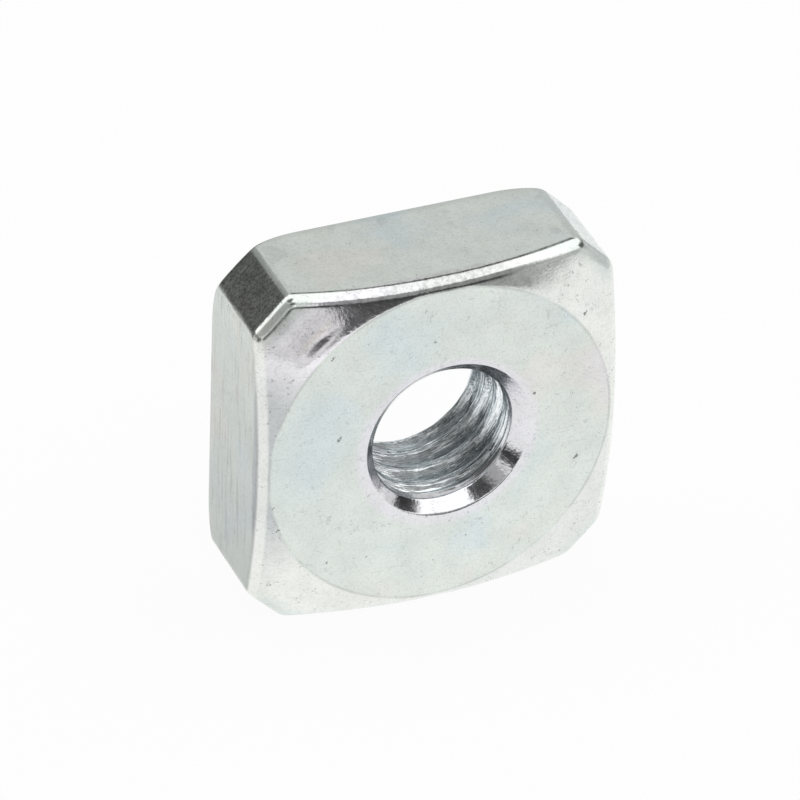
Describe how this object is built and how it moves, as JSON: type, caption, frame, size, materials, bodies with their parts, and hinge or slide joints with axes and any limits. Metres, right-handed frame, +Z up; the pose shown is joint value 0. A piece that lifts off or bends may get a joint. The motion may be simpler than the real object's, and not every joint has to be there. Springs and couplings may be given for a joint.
{
  "type": "square lock nut",
  "caption": "Square steel lock nut with cut corners, a chamfered front with a round land, and a countersunk threaded hole; it clamps or locks on a screw.",
  "frame": {"origin": "middle of the square, half way through the thickness", "axes": "+Z up with the nut standing on one side flat, -Y out of the chamfered front along the threaded hole, +X to the right as seen from the front"},
  "size_m": [0.017, 0.006, 0.017],
  "materials": {
    "zinc_plated_steel": "clear-passivated zinc plating, satin, faintly iridescent"
  },
  "bodies": {
    "root": {"lock_nut": "zinc_plated_steel"}
  },
  "joints": []
}
